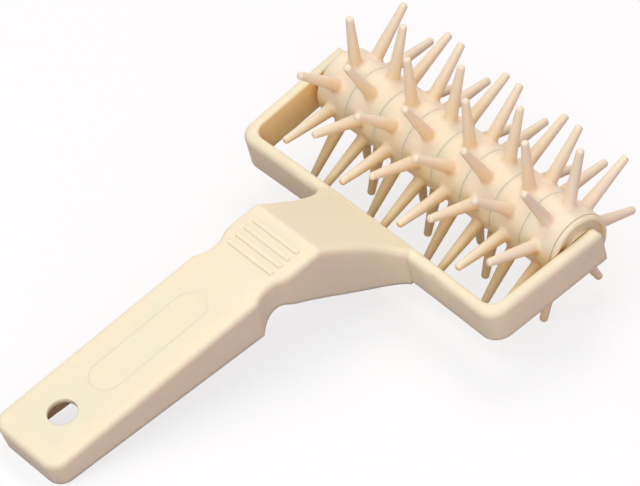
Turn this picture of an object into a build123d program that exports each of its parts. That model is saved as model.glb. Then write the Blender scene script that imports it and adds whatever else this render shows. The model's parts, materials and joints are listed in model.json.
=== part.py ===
from build123d import *
import os
from math import asin, atan2, cos, degrees, hypot, pi, radians, sin, tan

# A plastic roller dough docker: one moulding makes the hollow handle, the neck and the yoke, and a
# roller of spiked rings on a keyed core turns between the yoke's arms.
#
# Lengths are millimetres. Each piece is drawn in the tool's own axes: X runs along the roller, +Y
# points away from the handle, +Z is square to the handle's top face, and the origin is the middle
# of the roller's axis. At the end every piece is tipped the way the tool lies on a table, on two rows
# of spikes and the handle's tail. The table is then Z = 0.

# Spiked rings
ring_count = 8
spikes_per_ring = 8
ring_pitch = 14.0
seam_gap = 0.1                 # between the faces of neighbouring rings
hub_radius = 12.2
tip_circle_radius = 32.8       # roller axis to the end of a spike
spike_base_radius = 2.3
spike_end_radius = 1.35
spike_end_bevel = 0.65         # takes the edge off a spike's end
spike_sides = 8                # flats round a spike, which keep the 64 spikes light
spike_turn = 9.72              # degrees from a flat of the key to the nearest spike

# Keyed core that carries the rings
core_across_flats = 10.0
core_corner_bevel = 1.2
core_channel_width = 4.4       # channels in the flats, which thin the moulding
core_channel_depth = 2.0
key_clearance = 0.12           # core to ring, and core to end cap
head_radius = 9.4
head_thickness = 2.0
journal_radius = 3.5
journal_clearance = 0.08       # radial, in the arm's socket
journal_end_gap = 0.3
socket_depth = 2.2

# End cap on the roller's right end
cap_radius = 11.9
cap_thickness = 1.7
cap_boss_radius = 6.9
cap_boss_rise = 0.25           # boss above the rim
cap_recess_radius = 10.0
cap_recess_depth = 1.0
end_play = 0.3                 # roller to arm, at each end
roller_shift = 0.7             # the rings sit this far right of the yoke's middle, because the
                               # core's head is thicker than the cap

# Yoke
strip_thickness = 4.2
strip_height = 13.4
arm_reach = 6.2                # roller axis to the arms' free ends
arm_flare = 2.0                # degrees that each arm leans outward
bar_reach = 37.4               # roller axis to the bar's inner face
bar_bow = 0.8                  # how far the bar's middle comes towards the roller
outer_corner_radius = 6.5
inner_corner_radius = 4.5
strip_top_round = 2.2          # outer top edge
strip_bevel = 0.5              # inner top edge and outer bottom edge

# Handle and neck
handle_top = 30.3              # height of the handle's top face above the roller axis
neck_length = 25.4             # bar to the crest above the neck
crest_to_notch = 10.7          # crest to the finger notch
notch_length = 16.3
grip_length = 85.3             # notch to the tail
handle_half_width = 15.9
handle_corner_radius = 6.0
tail_depth = 10.2              # height of the side wall at the tail
heel_depth = 17.6              # and where the finger notch starts
notch_inset = 2.2              # how far the notch steps in on each side
notch_rise = 4.7               # how far the lower edge steps up in the notch
notch_waist_share = 0.42       # where the notch is narrowest, along its length
notch_corner_share = 0.45      # how sharply it leaves the handle's side
notch_return_share = 0.6       # how sharply it comes back
notch_roof_share = 0.25        # how far the step in the lower edge runs level
neck_half_width = 21.4         # neck where it meets the bar
neck_flare = 1.1               # how far the neck's sides widen before they curve out to the bar
neck_root_reach = 5.2          # how long that curve is
neck_lead = 9.0                # how far the neck's lower edge runs level above the notch
neck_foot_run = 17.0           # and how far along the bar's underside level it runs
side_draft = 5.5               # degrees that the sides lean in, going down
edge_round = 1.9               # top edges of handle and neck
crest_round = 3.0
top_wall = 2.0
side_wall = 6.0
inner_draft = 0.5              # degrees that the hollow opens, going down

# Details on the handle
hanging_hole_radius = 5.0
hanging_hole_inset = 17.4      # tail to the hole's centre
grip_rib_count = 4
grip_rib_pitch = 3.63
grip_rib_length = 21.8
grip_rib_width = 1.75
grip_rib_height = 0.45
grip_rib_offset = 4.9          # crest to the first rib
grip_rib_bevel = 0.5           # at its four corners
panel_length = 46.5
panel_width = 12.0
panel_height = 0.3
panel_offset = 32.0            # notch to the middle of the panel

overrun = 1.0                  # how far cutting shapes run past what they cut
key_flats = 4
eighth_turn = radians(45)

# Places that follow from the sizes above
strip_top = strip_height / 2
strip_bottom = -strip_height / 2
roller_half = ring_count * ring_pitch / 2
roller_start = roller_shift - roller_half
roller_end = roller_shift + roller_half
core_hole_flats = core_across_flats + 2 * key_clearance
cap_face = roller_end + seam_gap + cap_thickness + cap_boss_rise
arm_inner = cap_face + end_play
bar_outer = bar_reach + strip_thickness
crest_reach = bar_outer + neck_length
heel_reach = crest_reach + crest_to_notch + notch_length
handle_end = heel_reach + grip_length
panel_reach = heel_reach + panel_offset
flare_slope = tan(radians(arm_flare))
lower_slope = (heel_depth - tail_depth) / (handle_end - heel_reach)
slope_foot = -bar_reach - strip_bevel
spike_step = 360 / spikes_per_ring


def key_square(flats, bevel):
    """Section of the key: a square with bevelled corners."""
    return chamfer(Rectangle(flats, flats).vertices(), bevel)


def across(shape, x):
    """Stands a sketch of (Y, Z) square to the roller axis at x."""
    return Plane.YZ.offset(x) * shape


def build_spike():
    """One tapered spike standing on the roller axis along +Z, with its foot inside the hub."""
    foot = hub_radius / 2
    slope = (spike_base_radius - spike_end_radius) / (tip_circle_radius - hub_radius)
    foot_radius = spike_base_radius + slope * (hub_radius - foot)
    section = Pos(0, 0, foot) * RegularPolygon(foot_radius, spike_sides)
    draft = degrees(atan2(slope * cos(pi / spike_sides), 1.0))
    spike = extrude(section, tip_circle_radius - foot, taper=draft)
    return chamfer(spike.edges().group_by(Axis.Z)[-1], spike_end_bevel)


def build_ring(turned):
    """A ring with its row of spikes, centred on the roller axis. Turned rings are the same
    moulding the other way round, so their spikes stand between those of their neighbours."""
    half = (ring_pitch - seam_gap) / 2
    hub = extrude(across(Circle(hub_radius), -half), 2 * half)
    angle = spike_turn * (-1 if turned else 1)
    spike = build_spike()
    ring = hub
    for index in range(spikes_per_ring):
        ring = ring + Rot(X=angle + index * spike_step) * spike
    bore = extrude(across(key_square(core_hole_flats, core_corner_bevel), -half - overrun),
                   2 * (half + overrun))
    return ring - bore


def build_core():
    """The keyed core: a head and a journal at the left end, a channelled square bar through the
    rings, and the right-hand journal beyond the end cap."""
    bar_start = roller_start - seam_gap
    bar = extrude(across(key_square(core_across_flats, core_corner_bevel - key_clearance), bar_start),
                  cap_face - bar_start)
    head_face = bar_start - head_thickness
    head = extrude(across(Circle(head_radius), head_face), head_thickness)
    left_collar = extrude(across(Circle(cap_boss_radius), -cap_face), head_face + cap_face)
    journal_reach = arm_inner + socket_depth - journal_end_gap
    journal = extrude(across(Circle(journal_radius), -journal_reach), 2 * journal_reach)
    core = bar + head + left_collar + journal
    channel_floor = core_across_flats / 2 - core_channel_depth
    for index in range(key_flats):
        channel = Box(2 * roller_half, core_channel_width, core_channel_depth + overrun,
                      align=(Align.CENTER, Align.CENTER, Align.MIN))
        core = core - Rot(X=360 * index / key_flats) * Pos(roller_shift, 0, channel_floor) * channel
    return core


def build_end_cap():
    """The disc on the roller's right end, dished round a boss that faces the arm."""
    start = roller_end + seam_gap
    rim_face = start + cap_thickness
    disc = extrude(across(Circle(cap_radius), start), cap_thickness)
    dish_floor = rim_face - cap_recess_depth
    dish = extrude(across(Circle(cap_recess_radius), dish_floor), cap_recess_depth + overrun)
    boss = extrude(across(Circle(cap_boss_radius), start), cap_thickness + cap_boss_rise)
    cap = disc - dish + boss
    key_hole = extrude(across(key_square(core_hole_flats, core_corner_bevel), start - overrun),
                       cap_thickness + cap_boss_rise + 2 * overrun)
    return cap - key_hole


def yoke_outline(offset, corner):
    """Plan of the yoke on one of its faces, open at the arms' ends: offset 0 is the inner face."""
    reach = arm_reach + (0 if offset else overrun)
    half_end = arm_inner + offset / cos(radians(arm_flare)) + flare_slope * reach
    half_bar = arm_inner + offset / cos(radians(arm_flare)) - flare_slope * (bar_reach + offset)
    back = -bar_reach - offset
    with BuildSketch() as sketch:
        with BuildLine():
            Line((-half_end, reach), (-half_bar, back))
            ThreePointArc((-half_bar, back), (0, back + bar_bow), (half_bar, back))
            Line((half_bar, back), (half_end, reach))
            Line((half_end, reach), (-half_end, reach))
        make_face()
        fillet(sketch.vertices().group_by(Axis.Y)[0], corner)
    return sketch.sketch


def depth_in_strip(point):
    """How far a point of the yoke lies from the strip's inner face, measured outward."""
    bow = bar_bow * (1 - (point.X / arm_inner) ** 2)
    beside_arm = abs(point.X) - arm_inner - flare_slope * point.Y
    behind_bar = -point.Y - bar_reach + bow
    return max(beside_arm, behind_bar)


def build_yoke():
    """The U-shaped strip that holds the roller, without its sockets."""
    plan = yoke_outline(strip_thickness, outer_corner_radius) - yoke_outline(0, inner_corner_radius)
    strip = extrude(Pos(0, 0, strip_bottom) * plan, strip_height)

    def long_edges(shape, height, nearest, furthest):
        """The edges at one height whose middles lie between two depths in the strip."""
        return [edge for edge in shape.edges()
                if abs(edge.position_at(0.5).Z - height) < strip_bevel / 2
                and nearest < depth_in_strip(edge.position_at(0.5)) < furthest]

    middle = strip_thickness / 2
    outer = middle, strip_thickness + outer_corner_radius
    strip = fillet(long_edges(strip, strip_top, *outer), strip_top_round)
    strip = chamfer(long_edges(strip, strip_top, -inner_corner_radius, middle), strip_bevel)
    return chamfer(long_edges(strip, strip_bottom, *outer), strip_bevel)


def ease(start, end, share):
    """A curve in plan that leaves and arrives straight along the handle."""
    lead = share * (end[1] - start[1])
    return Bezier(start, (start[0], start[1] + lead), (end[0], end[1] - lead), end)


def corner_arc(start, end, centre):
    """A quarter circle from start to end, to draw a rounded corner."""
    reach_x = start[0] + end[0] - 2 * centre[0]
    reach_y = start[1] + end[1] - 2 * centre[1]
    middle = (centre[0] + reach_x * cos(eighth_turn), centre[1] + reach_y * sin(eighth_turn))
    return ThreePointArc(start, middle, end)


def plan_wire(half_width, tail, corner):
    """Closed plan outline of neck and handle at one height, from the tail into the bar."""
    waist = half_width - notch_inset
    notch_middle = -heel_reach + notch_length * notch_waist_share
    notch_bend = -heel_reach + notch_length * notch_waist_share * notch_corner_share
    notch_end = -heel_reach + notch_length
    corner_x, corner_y = half_width - corner, -tail + corner
    right = [
        corner_arc((corner_x, -tail), (half_width, corner_y), (corner_x, corner_y)),
        Line((half_width, corner_y), (half_width, -heel_reach)),
        Bezier((half_width, -heel_reach), (waist, notch_bend), (waist, notch_middle)),
        ease((waist, notch_middle), (half_width, notch_end), notch_return_share),
        Line((half_width, notch_end), (half_width, -crest_reach)),
        Bezier((half_width, -crest_reach), (half_width + neck_flare, -bar_outer - neck_root_reach),
               (neck_half_width, -bar_outer)),
        Line((neck_half_width, -bar_outer), (neck_half_width, slope_foot)),
    ]
    left = [edge.mirror(Plane.YZ) for edge in right]
    ends = [Line((-corner_x, -tail), (corner_x, -tail)),
            Line((-neck_half_width, slope_foot), (neck_half_width, slope_foot))]
    return Wire(right + left + ends)


def drafted_block(top, bottom):
    """The handle's plan between two heights, its sides leaning in by the draft going down."""
    wires = []
    for height in (top, bottom):
        shift = (handle_top - height) * tan(radians(side_draft))
        wire = plan_wire(handle_half_width - shift, handle_end - shift, handle_corner_radius - shift)
        wires.append(Pos(0, 0, height) * wire)
    return Solid.make_loft(wires, ruled=True)


def side_profile():
    """Side view of neck and handle: flat top, crest, slope down to the bar, finger notch."""
    heel = handle_top - heel_depth
    notch_top = heel + notch_rise
    notch_y = -heel_reach + notch_length / 2
    behind = -handle_end - overrun
    tail_low = handle_top - tail_depth + lower_slope * overrun
    with BuildSketch(Plane.YZ) as sketch:
        with BuildLine():
            Polyline((behind, tail_low), (behind, handle_top), (-crest_reach, handle_top),
                     (slope_foot, strip_top), (slope_foot, strip_bottom), (-bar_outer, strip_bottom))
            Bezier((-bar_outer, strip_bottom), (-bar_outer - neck_foot_run, strip_bottom),
                   (notch_y + neck_lead, notch_top), (notch_y, notch_top))
            Bezier((notch_y, notch_top), (notch_y - notch_length * notch_roof_share, notch_top),
                   (-heel_reach, heel))
            Line((-heel_reach, heel), (behind, tail_low))
        make_face()
    return sketch.sketch


def hollow_profile():
    """Side view of the space inside: one wall below the top and the slope, open underneath."""
    slope_angle = atan2(handle_top - strip_top, crest_reach + slope_foot)
    shift = top_wall * tan(slope_angle / 2)
    drop = top_wall / cos(slope_angle)
    front_top = strip_top - drop + (strip_thickness - strip_bevel) * tan(slope_angle)
    below = strip_bottom - overrun
    return Polygon((-handle_end, below), (-handle_end, handle_top - top_wall),
                   (-crest_reach - shift, handle_top - top_wall), (-bar_outer, front_top),
                   (-bar_outer, below), align=None)


def build_hollow():
    """The space inside neck and handle: straight walls with their own draft, open below."""
    half, neck_half = handle_half_width - side_wall, neck_half_width - side_wall
    corners = [(half, -handle_end + side_wall), (half, -crest_reach), (neck_half, -bar_outer),
               (neck_half, -bar_outer + overrun)]
    plan = Polygon(*corners, *((-x, y) for x, y in reversed(corners)), align=None)
    depth = handle_top - strip_bottom + 2 * overrun
    block = extrude(Pos(0, 0, handle_top) * plan, depth, dir=(0, 0, -1), taper=-inner_draft)
    return block & extrude(Plane.YZ * hollow_profile(), neck_half_width, both=True)


def build_handle_body():
    """Neck and handle: a drafted block cut to the side profile, rounded, then hollowed."""
    block = drafted_block(handle_top + overrun, strip_bottom - overrun)
    body = block & extrude(side_profile(), neck_half_width + overrun, both=True)
    return round_top(body) - build_hollow()


def round_top(body):
    """Rounds the crest, then the edges round the top face and down both sides of the slope."""
    crest = [edge for edge in body.edges().filter_by(Axis.X)
             if hypot(edge.center().Y + crest_reach, edge.center().Z - handle_top) < edge_round]
    body = fillet(crest, crest_round)
    upper = [face for face in body.faces() if face.normal_at().Z > sin(radians(side_draft))]
    sides = [face for face in body.faces() if abs(face.normal_at().Z) < 2 * sin(radians(side_draft))
             and face.center().Y < slope_foot - strip_bevel]
    side_edges = [edge for face in sides for edge in face.edges()]
    rim = [edge for face in upper for edge in face.edges()
           if any(edge.is_same(other) for other in side_edges)]
    return fillet(rim, edge_round)


def build_handle_frame():
    """The one moulding of yoke, neck and handle, with its ribs, panel, hole and sockets."""
    body = build_yoke() + build_handle_body()
    panel = SlotOverall(panel_length, panel_width)
    body = body + extrude(Pos(0, -panel_reach, handle_top) * Rot(Z=90) * panel, panel_height)
    rib = chamfer(Rectangle(grip_rib_length, grip_rib_width).vertices(), grip_rib_bevel)
    for index in range(grip_rib_count):
        rib_y = -crest_reach - grip_rib_offset - index * grip_rib_pitch
        body = body + extrude(Pos(0, rib_y, handle_top) * rib, grip_rib_height)
    hole_y = -handle_end + hanging_hole_inset
    body = body - Pos(0, hole_y, handle_top) * Cylinder(hanging_hole_radius, 2 * (top_wall + overrun))
    for side in (-1, 1):
        start = side * (arm_inner - strip_thickness / 2)
        socket = extrude(across(Circle(journal_radius + journal_clearance), start),
                         side * (strip_thickness / 2 + socket_depth))
        body = body - socket
    return body


def rest_pose():
    """Tip angle and height of the roller axis when the tool lies on two rows of spikes and the
    lower corner of its tail."""
    end_corner = spike_end_radius - spike_end_bevel / cos(pi / spike_sides)
    turn = radians(spike_turn)
    axis_height = tip_circle_radius * cos(turn) + end_corner * sin(turn)
    lean = tan(radians(side_draft))
    depth = tail_depth / (1 - lower_slope * lean)
    tail_y = handle_end - depth * lean
    tail_z = handle_top - depth
    tip = asin(axis_height / hypot(tail_y, tail_z)) + atan2(tail_z, tail_y)
    return degrees(tip), axis_height


def build_all():
    """Every piece by its node name, lying on the table with the middle of its box above the origin."""
    tip, axis_height = rest_pose()
    # The roller is turned back by the tip, so that two rows of spikes straddle straight down.
    upright = Rot(X=-tip)
    pieces = {"handle_frame": build_handle_frame()}
    for index in range(ring_count):
        x = roller_start + (index + 0.5) * ring_pitch
        pieces[f"spike_ring_{index + 1}"] = upright * Pos(x, 0, 0) * build_ring(index % 2 == 1)
    pieces["roller_core"] = upright * build_core()
    pieces["end_cap"] = upright * build_end_cap()

    lowered = {name: Pos(0, 0, axis_height) * Rot(X=tip) * piece for name, piece in pieces.items()}
    boxes = [piece.bounding_box() for piece in lowered.values()]
    centre_y = (min(box.min.Y for box in boxes) + max(box.max.Y for box in boxes)) / 2
    print("tip", round(tip, 4), "axis height", round(axis_height, 4), "axis Y", round(-centre_y, 4))
    print("lowest point", round(min(box.min.Z for box in boxes), 4))
    return {name: Pos(0, -centre_y, 0) * piece for name, piece in lowered.items()}


os.makedirs("parts", exist_ok=True)
for node, piece in build_all().items():
    export_step(piece, f"parts/{node}.step")
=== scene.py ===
# %% [markdown]
# # A dough docker, from its CAD frame to a finished render
# A baker rolls this tool over flat dough to prick it all over. It is one moulded handle with a
# U-shaped yoke, and a roller of eight spiked rings that spins between the yoke's arms. The CAD
# model gives every size and place. Here each piece gets its finished surface, and all of them
# get the cream polypropylene that the photograph shows.

# %% Load the CAD frame
import bmesh
import bpy
import json
import math
import numpy as np
from mathutils import Matrix, Vector


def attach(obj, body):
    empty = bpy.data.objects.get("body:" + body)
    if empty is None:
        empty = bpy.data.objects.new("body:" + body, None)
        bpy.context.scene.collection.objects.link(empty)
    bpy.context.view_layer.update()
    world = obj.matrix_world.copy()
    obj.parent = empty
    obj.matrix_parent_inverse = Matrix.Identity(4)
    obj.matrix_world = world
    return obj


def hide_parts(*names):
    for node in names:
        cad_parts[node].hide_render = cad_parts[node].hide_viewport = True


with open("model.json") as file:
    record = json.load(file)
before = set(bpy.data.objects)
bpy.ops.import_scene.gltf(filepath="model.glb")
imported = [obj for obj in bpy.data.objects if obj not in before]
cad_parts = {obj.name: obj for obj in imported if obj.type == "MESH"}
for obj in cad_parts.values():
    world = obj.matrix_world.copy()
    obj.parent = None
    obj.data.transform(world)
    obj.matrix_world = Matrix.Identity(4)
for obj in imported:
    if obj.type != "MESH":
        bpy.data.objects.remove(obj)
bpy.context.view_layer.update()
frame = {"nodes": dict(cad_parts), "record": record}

# %% [markdown]
# The tool lies tipped on its spikes and its tail. Its own axes are easier to draw in: X along
# the roller, Y away from the handle, Z square to the handle's top. The hanging hole's axis says
# how far the tool is tipped, and the roller's joint says where its axis lies, so both are read
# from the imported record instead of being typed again.

# %% Axes of the tool
record = frame["record"]
spin = record["behaviour"]["joints"][0]
hole = record["mounts"][0]
axis_middle = np.array(spin["pos_m"])
tip = math.atan2(-hole["axis"][1], hole["axis"][2])
tip_turn = np.array([[1, 0, 0],
                     [0, math.cos(tip), -math.sin(tip)],
                     [0, math.sin(tip), math.cos(tip)]])
print("tipped by", round(math.degrees(tip), 2), "degrees")


def about_roller(angle):
    """Rotation about X by an angle in degrees."""
    c, s = math.cos(math.radians(angle)), math.sin(math.radians(angle))
    return np.array([[1, 0, 0], [0, c, -s], [0, s, c]])


# %% [markdown]
# ## Camera
# The photograph was taken from the right, above and behind the handle, with a long lens: lines
# that are parallel on the tool stay nearly parallel in the picture. The camera stands where the
# picture's edges fall on the CAD model's edges.

# %% Camera at the photograph's angle
mm = 0.001
aim = np.array([-4.85, 19.37, 22.78]) * mm
camera_distance = 1579.7 * mm
camera_azimuth, camera_elevation, camera_roll = np.radians([47.75, 39.11, 2.10])

back = np.array([math.sin(camera_azimuth) * math.cos(camera_elevation),
                 -math.cos(camera_azimuth) * math.cos(camera_elevation),
                 math.sin(camera_elevation)])
level = np.array([math.cos(camera_azimuth), math.sin(camera_azimuth), 0.0])
upright = np.cross(back, level)
right = math.cos(camera_roll) * level + math.sin(camera_roll) * upright
up = np.cross(back, right)

camera = bpy.data.objects.new("photo_camera", bpy.data.cameras.new("photo_camera"))
bpy.context.scene.collection.objects.link(camera)
turn = Matrix(np.column_stack([right, up, back]).tolist()).to_4x4()
camera.matrix_world = Matrix.Translation(Vector(aim + camera_distance * back)) @ turn
camera.data.sensor_fit = "HORIZONTAL"
camera.data.sensor_width = 36.0
camera.data.lens = 277.5
camera.data.clip_start, camera.data.clip_end = 0.1, 20.0
bpy.context.scene.camera = camera
bpy.context.scene.view_settings.view_transform = "Standard"
print("camera at", [round(v, 3) for v in camera.location])

# %% [markdown]
# ## Light and floor
# The photograph is a cut-out on white in soft light from above: the tops are bright and warm,
# and the faces that look to the right are in an even, slightly pink shade. Three large lamps do
# that, one behind the tool, one in front of it and a low one at its right, and the world fills
# the rest. Light adds up, so the scene was rendered once with each lamp alone. The strengths and
# tints started as the mix of those pictures that comes nearest to the photograph, and were then
# adjusted. The floor and the world are white only for the camera and for what shows in gloss
# or glass. The light that the floor throws back is darker, as from a table.


# %% Three lamps
def area_lamp(name, place, size, power, colour):
    """A square lamp that looks at the middle of the tool: place and size in metres, power in
    watts."""
    lamp = bpy.data.lights.new(name, "AREA")
    lamp.shape, lamp.size, lamp.energy, lamp.color = "SQUARE", size, power, colour
    holder = bpy.data.objects.new(name, lamp)
    bpy.context.scene.collection.objects.link(holder)
    holder.location = place
    holder.rotation_euler = (Vector(aim) - Vector(place)).to_track_quat("-Z", "Y").to_euler()
    return holder


back_lamp = area_lamp("back_lamp", (-0.35, 0.35, 1.1), 0.7, 5.8, (1.0, 0.88, 0.76))
front_lamp = area_lamp("front_lamp", (0.15, -0.75, 1.0), 0.7, 5.4, (0.79, 1.0, 0.90))
side_lamp = area_lamp("side_lamp", (1.1, -0.7, 0.6), 1.0, 6.9, (0.96, 0.85, 1.0))
print("lamps:", [o.name for o in (back_lamp, front_lamp, side_lamp)])


# %% Helpers for colours and nodes
def linear(code):
    """An sRGB hex colour as the linear values that Blender's nodes work in: a straight line for
    the darkest values, and a power of 2.4 for the others."""
    channels = np.array([int(code[i:i + 2], 16) for i in (1, 3, 5)]) / 255
    low, high = channels / 12.92, ((channels + 0.055) / 1.055) ** 2.4
    return (*np.where(channels <= 0.04045, low, high).tolist(), 1.0)


def add_node(tree, kind, settings=None, links=None):
    """One node: settings go to its attributes or sockets, links join other nodes' outputs to it."""
    node = tree.nodes.new(kind)
    for key, value in (settings or {}).items():
        if isinstance(key, str) and hasattr(node, key):
            setattr(node, key, value)
        else:
            node.inputs[key].default_value = value
    for key, source in (links or {}).items():
        tree.links.new(source, node.inputs[key])
    return node


def background_rays(tree):
    """1 for rays from the camera and for reflected or refracted ones, 0 for the light that falls
    on the tool."""
    path = add_node(tree, "ShaderNodeLightPath")
    shown = add_node(tree, "ShaderNodeMath", {"operation": "MAXIMUM"},
                     {0: path.outputs["Is Camera Ray"], 1: path.outputs["Is Glossy Ray"]})
    return add_node(tree, "ShaderNodeMath", {"operation": "MAXIMUM"},
                    {0: shown.outputs[0], 1: path.outputs["Is Transmission Ray"]}).outputs[0]


paper_white, paper_bounce = linear("#fafafa"), linear("#8f7b74")
print("the paper's white as linear values:", [round(v, 3) for v in paper_white])

# %% World
world = bpy.data.worlds.new("studio")
bpy.context.scene.world = world
world.use_nodes = True
world.node_tree.nodes.clear()
soft = add_node(world.node_tree, "ShaderNodeBackground",
                {"Color": (1.0, 0.83, 1.0, 1.0), "Strength": 0.40})
white = add_node(world.node_tree, "ShaderNodeBackground", {"Color": (1, 1, 1, 1), "Strength": 1.0})
chosen = add_node(world.node_tree, "ShaderNodeMixShader", None,
                  {0: background_rays(world.node_tree), 1: soft.outputs[0], 2: white.outputs[0]})
add_node(world.node_tree, "ShaderNodeOutputWorld", None, {"Surface": chosen.outputs[0]})
print("world nodes:", len(world.node_tree.nodes))

# %% Floor
floor_mesh = bpy.data.meshes.new("floor")
half_width = 6.0
floor_mesh.from_pydata([(-half_width, -half_width, 0), (half_width, -half_width, 0),
                        (half_width, half_width, 0), (-half_width, half_width, 0)],
                       [], [(0, 1, 2, 3)])
floor = bpy.data.objects.new("floor", floor_mesh)
bpy.context.scene.collection.objects.link(floor)

# Matt paper: the eye sees even white behind the tool, with the tool's soft shadow on it.
paper_glow = 0.75
paper = bpy.data.materials.new("white_studio_paper")
paper.use_nodes = True
paper.node_tree.nodes.clear()
shown = background_rays(paper.node_tree)
tint = add_node(paper.node_tree, "ShaderNodeMix",
                {"data_type": "RGBA", 6: paper_bounce, 7: paper_white}, {0: shown})
matt = add_node(paper.node_tree, "ShaderNodeBsdfDiffuse", None, {"Color": tint.outputs[2]})
bright = add_node(paper.node_tree, "ShaderNodeEmission", {"Color": (1, 1, 1, 1), "Strength": 1.0})
share = add_node(paper.node_tree, "ShaderNodeMath", {"operation": "MULTIPLY", 1: paper_glow},
                 {0: shown})
sheet = add_node(paper.node_tree, "ShaderNodeMixShader", None,
                 {0: share.outputs[0], 1: matt.outputs[0], 2: bright.outputs[0]})
add_node(paper.node_tree, "ShaderNodeOutputMaterial", None, {"Surface": sheet.outputs[0]})
floor_mesh.materials.append(paper)
print("floor:", 2 * half_width, "m wide, of", paper.name)

# %% [markdown]
# ## The plastic
# The real tool is injection-moulded polypropylene in a cream colour. It has a soft sheen, lets
# a little light in at thin places, and shows the faint unevenness of a spark-eroded mould and a
# slight drift of colour from the flow of the melt. The eroded skin is about 0.05 mm fine, which
# would not show, so it is drawn about ten times as coarse.
#
# Light that has passed through this plastic is golden, and it shows between the spikes, on the
# yoke's inner faces and in the hollow of the handle. Scattering alone gives too little of it, so a
# golden glow is painted into the colour. On the roller it is painted where other faces stand close,
# which the ambient occlusion node measures, as painted warm shade. On the handle's moulding it is
# painted where a face looks at the roller, as painted light that the roller throws back, and deep
# in the hollow a painted brown shade. One function makes the plastic, and each piece gets its own
# batch of it, as its own moulding would. The cap's glow is brighter, painted light on its shaded
# face.

# %% Sizes in the finish, and the colours of light that has passed through plastic
flow_width, sink_width, grain_width = 22 * mm, 9 * mm, 0.55 * mm
sink_depth, grain_depth, light_depth = 0.12 * mm, 0.02 * mm, 4.0 * mm
refraction = 1.49
# Painted glow: golden colour that stands in for light passed through the plastic, in shaded corners
# and on faces that the roller throws light onto. The cap's is brighter: painted light on a face
# that lies in shade.
painted_glow_codes = {"frame": "#fadb8c", "rings": "#ebc97c", "core": "#ebc97c", "cap": "#ffd590"}
# Painted shade: brown deep in the handle's hollow.
painted_hollow_shade_code = "#dd9c2c"
# The handle's top lies this high above the roller's axis, square to that top, and the raised
# panel stands up from it.
handle_top, panel_height = 30.3 * mm, 0.3 * mm
edge_rounding, detail_rounding = 2.2 * mm, 0.45 * mm
print("light goes", light_depth / mm, "mm deep; grain is drawn", grain_width / mm, "mm wide")


# %% Where the moulding gets its painted golden glow, and how its edges round
def looks_at_roller(tree, place):
    """How squarely a surface looks at the middle of the roller, from -1 to 1: the surface's
    normal times the direction from it to there."""
    arm = add_node(tree, "ShaderNodeVectorMath", {"operation": "SUBTRACT", 0: axis_middle.tolist()},
                   {1: place})
    aim_at = add_node(tree, "ShaderNodeVectorMath", {"operation": "NORMALIZE"}, {0: arm.outputs[0]})
    normal = add_node(tree, "ShaderNodeNewGeometry").outputs["Normal"]
    return add_node(tree, "ShaderNodeVectorMath", {"operation": "DOT_PRODUCT"},
                    {0: aim_at.outputs[0], 1: normal}).outputs["Value"]


def moulded_edges(tree, place):
    """Normals with the edges rounded: widely at the rims, and narrowly at the handle's top face,
    where the ribs and the panel are fine. The radius shrinks from 1.3 to 0.1 mm below that face."""
    rise = add_node(tree, "ShaderNodeVectorMath",
                    {"operation": "DOT_PRODUCT", 1: tip_turn[:, 2].tolist()}, {0: place})
    top = np.dot(axis_middle, tip_turn[:, 2]) + handle_top
    radius = add_node(tree, "ShaderNodeMapRange",
                      {"From Min": top - 1.3 * mm, "From Max": top - 0.1 * mm,
                       "To Min": edge_rounding, "To Max": detail_rounding},
                      {"Value": rise.outputs["Value"]})
    return add_node(tree, "ShaderNodeBevel", {"samples": 8}, {"Radius": radius.outputs[0]})


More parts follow.
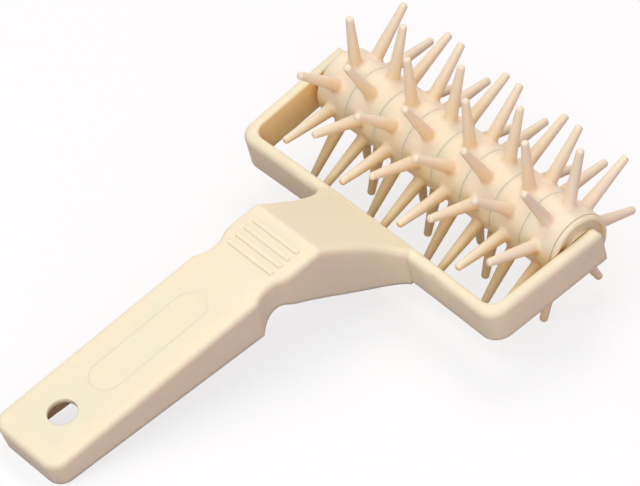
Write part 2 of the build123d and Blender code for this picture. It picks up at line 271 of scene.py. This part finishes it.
# %% Cream polypropylene
def cream_polypropylene(batch, code, drift_code, roughness):
    """Injection-moulded polypropylene: matt from an eroded mould, with light bleeding in. The
    eye sees a waxy cream, with a painted gold glow in the shaded corners between the spikes and on
    faces that look at the roller, and a painted brown shade deep in the handle's hollow."""
    material = bpy.data.materials.new("cream_polypropylene_" + batch)
    material.use_nodes = True
    tree = material.node_tree
    tree.nodes.clear()
    place = add_node(tree, "ShaderNodeTexCoord").outputs["Object"]
    flow = add_node(tree, "ShaderNodeTexNoise",
                    {"Scale": 1 / flow_width, "Detail": 3.0, "Roughness": 0.55}, {"Vector": place})
    sink = add_node(tree, "ShaderNodeTexNoise", {"Scale": 1 / sink_width, "Detail": 1.0},
                    {"Vector": place})
    grain = add_node(tree, "ShaderNodeTexNoise", {"Scale": 1 / grain_width, "Detail": 2.0},
                     {"Vector": place})
    gloss = add_node(tree, "ShaderNodeMapRange",
                     {"To Min": roughness - 0.05, "To Max": roughness + 0.05},
                     {"Value": sink.outputs["Fac"]})
    waves = add_node(tree, "ShaderNodeBump", {"Strength": 0.25, "Distance": sink_depth},
                     {"Height": sink.outputs["Fac"]})
    skin = add_node(tree, "ShaderNodeBump", {"Strength": 0.35, "Distance": grain_depth},
                    {"Height": grain.outputs["Fac"], "Normal": waves.outputs["Normal"]})

    # How open a place is, from 0 to 1: what stands further off than this doesn't close it.
    furthest = (25 if batch == "frame" else 45) * mm
    open_share = add_node(tree, "ShaderNodeAmbientOcclusion",
                          {"samples": 8, "Distance": furthest}).outputs["AO"]
    if batch == "frame":
        tree.links.new(moulded_edges(tree, place).outputs["Normal"], waves.inputs["Normal"])
        # A face turned straight to the roller, such as an arm's inside, gets four fifths of the
        # painted golden glow: painted light thrown back by the roller.
        painted_glow_mask = add_node(tree, "ShaderNodeMapRange",
                          {"From Min": 0.5, "From Max": 1.0, "To Max": 0.8},
                          {"Value": looks_at_roller(tree, place)})
    else:
        # A place that is only a fifth open, deep between the spikes, gets all of the painted golden
        # glow: painted warm shade in the corners.
        painted_glow_mask = add_node(tree, "ShaderNodeMapRange", {"From Min": 0.65, "From Max": 0.2},
                          {"Value": open_share})
    cream = add_node(tree, "ShaderNodeMix",
                     {"data_type": "RGBA", 6: linear(code), 7: linear(drift_code)},
                     {0: flow.outputs["Fac"]})
    colour = add_node(tree, "ShaderNodeMix",
                      {"data_type": "RGBA", 7: linear(painted_glow_codes[batch])},
                      {0: painted_glow_mask.outputs[0], 6: cream.outputs[2]})
    if batch == "frame":
        # Hardly anything but the handle's hollow is closed in as far as this, so the painted brown
        # shade lies deep in the hollow.
        inside = add_node(tree, "ShaderNodeMapRange", {"From Min": 0.3, "From Max": 0.1},
                          {"Value": open_share})
        colour = add_node(tree, "ShaderNodeMix", {"data_type": "RGBA", 7: linear(painted_hollow_shade_code)},
                          {0: inside.outputs[0], 6: colour.outputs[2]})
    plastic = add_node(tree, "ShaderNodeBsdfPrincipled",
                       {"IOR": refraction, "Subsurface Weight": 0.6,
                        "Subsurface Scale": light_depth, "Subsurface Radius": (1.0, 0.62, 0.36)},
                       {"Base Color": colour.outputs[2], "Roughness": gloss.outputs[0],
                        "Normal": skin.outputs["Normal"]})
    add_node(tree, "ShaderNodeOutputMaterial", None, {"Surface": plastic.outputs[0]})
    return material


# %% A batch for each moulding: its colour, the colour it drifts to, and its roughness
frame_plastic = cream_polypropylene("frame", "#f3ebcc", "#f1e6c7", 0.5)
ring_plastic = cream_polypropylene("rings", "#f7e8cf", "#f4e0c4", 0.42)
core_plastic = cream_polypropylene("core", "#f8e8cc", "#f5e2c2", 0.5)
# The cap's golden is brighter than the roller's: painted light on a face that lies in shade.
cap_plastic = cream_polypropylene("cap", "#ffeac8", "#ffe5bc", 0.45)
print("materials:", [m.name for m in (frame_plastic, ring_plastic, core_plastic, cap_plastic)])


# %% [markdown]
# ## From arrays to a mesh
# A surface is a grid of points: one parameter runs round it and the other along it. Its faces
# join each point to the next in both directions. Where two grids share a row of points, those
# points become one, so that a piece made of several grids is still one closed skin.


# %% Grids of points as one skin
def grid_faces(rows, columns, looped):
    """Quads of a grid whose rows close on themselves. In a looped grid the last row joins the
    first one as well."""
    r, c = np.meshgrid(np.arange(rows if looped else rows - 1), np.arange(columns), indexing="ij")
    here, above, beside = r * columns, (r + 1) % rows * columns, (c + 1) % columns
    return np.stack([here + c, here + beside, above + beside, above + c], -1).reshape(-1, 4)


def joined_surface(grids, middle):
    """Points and faces of one skin from pairs of a grid of shape (rows, columns, 3) and the way
    it ends: "loop" back to its first row, "open" on a row of another grid, or "tip" with the
    last row closed by a fan. A grid that is inside out, seen from the middle, is reversed.
    Points that agree to a tenth of a micrometre become one."""
    points, faces, first = [], [], 0
    for grid, end in grids:
        rows, columns, _ = grid.shape
        flat = grid.reshape(-1, 3)
        blocks = [grid_faces(rows, columns, end == "loop")]
        corner = (flat - middle)[blocks[0]]
        volume = np.einsum("ij,ij->i", corner[:, 0], np.cross(corner[:, 1], corner[:, 2])).sum()
        if end == "tip":
            last = np.arange(len(flat) - columns, len(flat))
            blocks.append(np.stack([last, np.roll(last, -1), np.full(columns, len(flat))], -1))
            flat = np.concatenate([flat, [grid[-1].mean(0)]])
        faces += [first + (block if volume > 0 else block[:, ::-1]) for block in blocks]
        points.append(flat)
        first += len(flat)
    points, merged = np.unique(np.round(np.concatenate(points), 7), axis=0, return_inverse=True)
    return points, [merged.ravel()[block] for block in faces]


def new_piece(name, points, faces, material, sharp_angle, body, replaced):
    """A mesh that rides a body in place of a CAD node, smooth except at its sharp edges."""
    mesh = bpy.data.meshes.new(name)
    mesh.from_pydata(points.tolist(), [], [face for block in faces for face in block.tolist()])
    mesh.polygons.foreach_set("use_smooth", np.ones(len(mesh.polygons), bool))
    mesh.set_sharp_from_angle(angle=math.radians(sharp_angle))
    mesh.materials.append(material)
    piece = bpy.data.objects.new(name, mesh)
    bpy.context.scene.collection.objects.link(piece)
    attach(piece, body)
    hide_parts(replaced)
    return piece


def to_roller(points):
    """From the roller's own axes in mm to the part's frame in metres."""
    return points * mm + axis_middle


# %% [markdown]
# ## Spiked rings
# Each ring is a short hub with eight tapered spikes. A lathe would turn the hub, but not the
# soft root where a spike grows out of it. So the hub's cylinder is cut in eight patches, one
# round each spike, and each patch is drawn together with its spike: its columns start on the
# patch's border, run to the root, and climb the spike. The hub's sides and bore are a lathe
# profile whose first and last rows are the borders of the patches.

# %% Sizes of a ring in mm, and how finely it is drawn
ring_count, spikes_per_ring = 8, 8
ring_pitch, ring_half = 14.0, 6.95
roller_shift = 0.7
hub_radius, hub_round = 12.2, 0.12
tip_radius, spike_base, spike_end, root_fillet, end_round = 32.8, 2.3, 1.35, 1.3, 0.95
spike_turn = 9.72
bore_half, bore_corner = 5.12, 1.6
side_steps, patch_rows, cone_rows = 12, 4, 8
quarter = np.linspace(0, math.pi / 2, 7)
lathe_sharp = 40
print("roller:", ring_count * ring_pitch, "mm of rings,", 2 * tip_radius, "mm over the tips")


# %% The hub's sides and its square bore
def rounded_square(angle, half, corner):
    """Distance from the middle of a square with rounded corners to its side, by direction: the
    flat where the ray meets it, and the corner's circle elsewhere."""
    folded = np.abs((angle + math.pi / 4) % (math.pi / 2) - math.pi / 4)
    flat = half / np.cos(folded)
    centre = half - corner
    along = centre * (np.cos(folded) + np.sin(folded))
    aside = centre * (np.cos(folded) - np.sin(folded))
    arc = along + np.sqrt(np.maximum(corner ** 2 - aside ** 2, 0))
    return np.where(half * np.tan(folded) > centre, arc, flat)


def lathe_grid(x, radii, angle):
    """Rows of points about the roller's axis, one at each x. A radius is a number, or a value
    for each angle where the row follows the square bore."""
    radius = np.stack([np.broadcast_to(r, angle.shape) for r in radii])
    x = np.repeat(np.array(x)[:, None], len(angle), 1)
    return np.stack([x, radius * np.sin(angle), radius * np.cos(angle)], -1)


def side_grid(angle):
    """A hub's two sides and its bore: round the right rim, down to the square bore, through it,
    and out again over the left side."""
    bore = rounded_square(angle, bore_half, bore_corner)
    x_rim = ring_half - hub_round * (1 - np.cos(quarter[::-1]))
    r_rim = hub_radius - hub_round * (1 - np.sin(quarter[::-1]))
    x = np.concatenate([x_rim, [ring_half, ring_half]])
    radii = [*r_rim, (bore_half + hub_radius) / 2, bore]
    return lathe_grid([*x, *-x[::-1]], radii + radii[::-1], angle)


# %% One spike with its patch of the hub
def spike_grid():
    """One eighth of the hub's cylinder and the spike in its middle, along +Z. Each column starts
    on the patch's border and runs straight to the spike's root circle. There it curls up by a
    quarter circle, climbs the cone, and bends over the round end."""
    side = np.linspace(-1, 1, side_steps, endpoint=False)
    full = np.ones(side_steps)
    border_angle = np.concatenate([side, full, -side, -full]) * math.pi / spikes_per_ring
    border_x = np.concatenate([-full, side, full, -side]) * (ring_half - hub_round)
    around = np.arctan2(border_angle * hub_radius, border_x)
    along, across = np.cos(around), np.sin(around)
    end_centre = tip_radius - end_round
    taper = (spike_base - spike_end) / (end_centre - hub_radius)
    reach = spike_end + taper * (end_centre - hub_radius - root_fillet)
    root = reach + root_fillet

    share = np.linspace(0, 1, patch_rows + 1)[:-1, None]
    patch_x = border_x * (1 - share) + root * along * share
    patch_angle = border_angle * (1 - share) + np.arcsin(root * across / hub_radius) * share
    patch_y, patch_z = hub_radius * np.sin(patch_angle), hub_radius * np.cos(patch_angle)
    patch = np.stack([patch_x, patch_y, patch_z], -1)

    bend, climb = quarter[:, None], np.linspace(0, 1, cone_rows + 1)[1:, None]
    root_r = reach + root_fillet * (1 - np.sin(bend)) + 0 * around
    root_z = np.sqrt(hub_radius ** 2 - (root_r * across) ** 2) + root_fillet * (1 - np.cos(bend))
    cone_z = root_z[-1] * (1 - climb) + end_centre * climb
    cone_r = spike_end + taper * (end_centre - cone_z)
    cap_r = spike_end - end_round * (1 - np.cos(bend[1:])) + 0 * around
    cap_z = end_centre + end_round * np.sin(bend[1:]) + 0 * around
    r, z = np.concatenate([root_r, cone_r, cap_r]), np.concatenate([root_z, cone_z, cap_z])
    return np.concatenate([patch, np.stack([r * along, r * across, z], -1)])


spike = spike_grid()
print("points in the grid of one spike:", spike.shape[:2])

# %% Eight rings, every second one turned round
patch_steps = side_steps * spikes_per_ring
for index in range(ring_count):
    shift = np.array([roller_shift + (index + 0.5 - ring_count / 2) * ring_pitch, 0, 0])
    turned = spike_turn * (-1 if index % 2 else 1)
    first_border = -math.radians(turned) - math.pi / spikes_per_ring
    angle = first_border + np.linspace(0, 2 * math.pi, patch_steps, endpoint=False)
    grids = [(to_roller(side_grid(angle) + shift), "open")]
    for k in range(spikes_per_ring):
        placed = spike @ about_roller(turned + k * 360 / spikes_per_ring).T
        grids.append((to_roller(placed + shift), "tip"))
    skin = joined_surface(grids, to_roller(shift))
    new_piece(f"ring_{index + 1}", *skin, ring_plastic, lathe_sharp, "roller",
                           f"spike_ring_{index + 1}")

# %% [markdown]
# ## End cap
# The cap is a lathe profile too. Its rim is rolled over softly, so it catches the light from
# above although the cap's face looks away from it. Inside the rim lies a dish, and its floor
# rises a little towards the boss in the middle.

# %% The cap's profile in mm, from its back round the rim and the dish to the boss
cap_start, cap_radius, cap_thickness, boss_radius, boss_rise = 56.8, 11.9, 1.7, 6.9, 0.25
rim_round, lip_round, dish_round, dish_radius, dish_depth = 1.15, 0.35, 0.3, 10.3, 1.0
back_bevel, floor_rise, cap_steps = 0.05, 0.2, 144


def cap_grid(angle):
    """Rows of quarter circles for rim, lip, dish and boss, joined by straight runs."""
    bore = rounded_square(angle, bore_half, bore_corner)
    s, c = np.sin(quarter), np.cos(quarter)
    floor_x, boss_x = cap_thickness - dish_depth, cap_thickness + boss_rise
    x = [0, 0, back_bevel,
         *cap_thickness - rim_round * (1 - s), *cap_thickness - lip_round * (1 - c),
         *floor_x + dish_round * (1 - s), *floor_x + floor_rise + dish_round * (1 - c),
         *boss_x - dish_round * (1 - s), boss_x]
    radii = [bore, cap_radius - back_bevel, cap_radius, *cap_radius - rim_round * (1 - c),
             *dish_radius + lip_round * (1 - s), *dish_radius - dish_round * (1 - c),
             *boss_radius + dish_round * (1 - s), *boss_radius - dish_round * (1 - c), bore]
    return lathe_grid(x, radii, angle)


start = np.array([cap_start, 0, 0])
angle = np.linspace(0, 2 * math.pi, cap_steps, endpoint=False)
skin = joined_surface([(to_roller(cap_grid(angle) + start), "loop")], to_roller(start))
cap = new_piece("cap", *skin, cap_plastic, lathe_sharp, "roller", "end_cap")
print("cap faces:", len(cap.data.polygons))

# %% [markdown]
# ## Smooth copies of CAD pieces
# The handle with its yoke and the core have the right shape in the CAD model, but its triangles
# are loose, so each would be shaded flat. A copy with its corners merged can be shaded smooth,
# with sharp edges kept where two faces meet at an angle. In the photograph the raised panel is
# hardly seen and the yoke's arms end a little rounder, so both are changed on the copy.


# %% Merge, smooth and replace
def smooth_copy(node, name, material, body, sharp_angle):
    """A copy of a CAD node with its curves shaded smooth. Corners of its triangles that agree to
    a micrometre are merged, and triangles that this closes up are left out."""
    source = frame["nodes"][node]
    corners = np.empty(len(source.data.vertices) * 3)
    source.data.vertices.foreach_get("co", corners)
    keys, merged = np.unique(np.round(corners.reshape(-1, 3), 6), axis=0, return_inverse=True)
    loops = np.empty(len(source.data.loops), int)
    source.data.loops.foreach_get("vertex_index", loops)
    triangles = merged.ravel()[loops].reshape(-1, 3)
    real = (triangles[:, 0] != triangles[:, 1]) & (triangles[:, 1] != triangles[:, 2])
    real &= triangles[:, 0] != triangles[:, 2]
    return new_piece(name, keys, [triangles[real]], material, sharp_angle, body, node)


# %% Two small changes to the handle's copy
def lower_panel(piece, drop):
    """Moves the raised panel's face down: all points within 0.05 mm of the panel's height above
    the roller's axis, measured square to the handle's top."""
    points = np.empty(len(piece.data.vertices) * 3)
    piece.data.vertices.foreach_get("co", points)
    points = points.reshape(-1, 3)
    rise = (points - axis_middle) @ tip_turn[:, 2]
    panel = np.abs(rise - handle_top - panel_height) < 0.05 * mm
    points[panel] -= drop * tip_turn[:, 2]
    piece.data.vertices.foreach_set("co", points.ravel())
    piece.data.update()
    print("panel points lowered:", panel.sum())


def soften_arm_ends(piece, radius, sharp_angle):
    """Rounds the outer upright edge of each arm's free end: where the only faces that look away
    from the handle, more than 5 mm beyond the roller's axis, turn by more than 1 radian."""
    mesh = bmesh.new()
    mesh.from_mesh(piece.data)
    away, axis = Vector(tip_turn[:, 1]), Vector(axis_middle)
    ends = [face for face in mesh.faces if face.normal.dot(away) > 0.99
            and (face.calc_center_median() - axis).dot(away) > 5 * mm]
    rims = list(dict.fromkeys(edge for face in ends for edge in face.edges
                              if edge.calc_face_angle() > 1))
    bmesh.ops.bevel(mesh, geom=rims, offset=radius, offset_type="OFFSET", segments=4,
                    profile=0.5, affect="EDGES", clamp_overlap=False)
    mesh.to_mesh(piece.data)
    mesh.free()
    piece.data.set_sharp_from_angle(angle=math.radians(sharp_angle))
    print("softened edges at the arms' ends:", len(rims))


# %% Copies of the handle and the core
frame_sharp, core_sharp, panel_drop, arm_end_radius = 28, 30, 0.14 * mm, 0.8 * mm
moulding = smooth_copy("handle_frame", "handle_and_yoke", frame_plastic, "frame", frame_sharp)
lower_panel(moulding, panel_drop)
soften_arm_ends(moulding, arm_end_radius, frame_sharp)
core = smooth_copy("roller_core", "core", core_plastic, "roller", core_sharp)
print("copies:", [(p.name, len(p.data.polygons)) for p in (moulding, core, cap)])
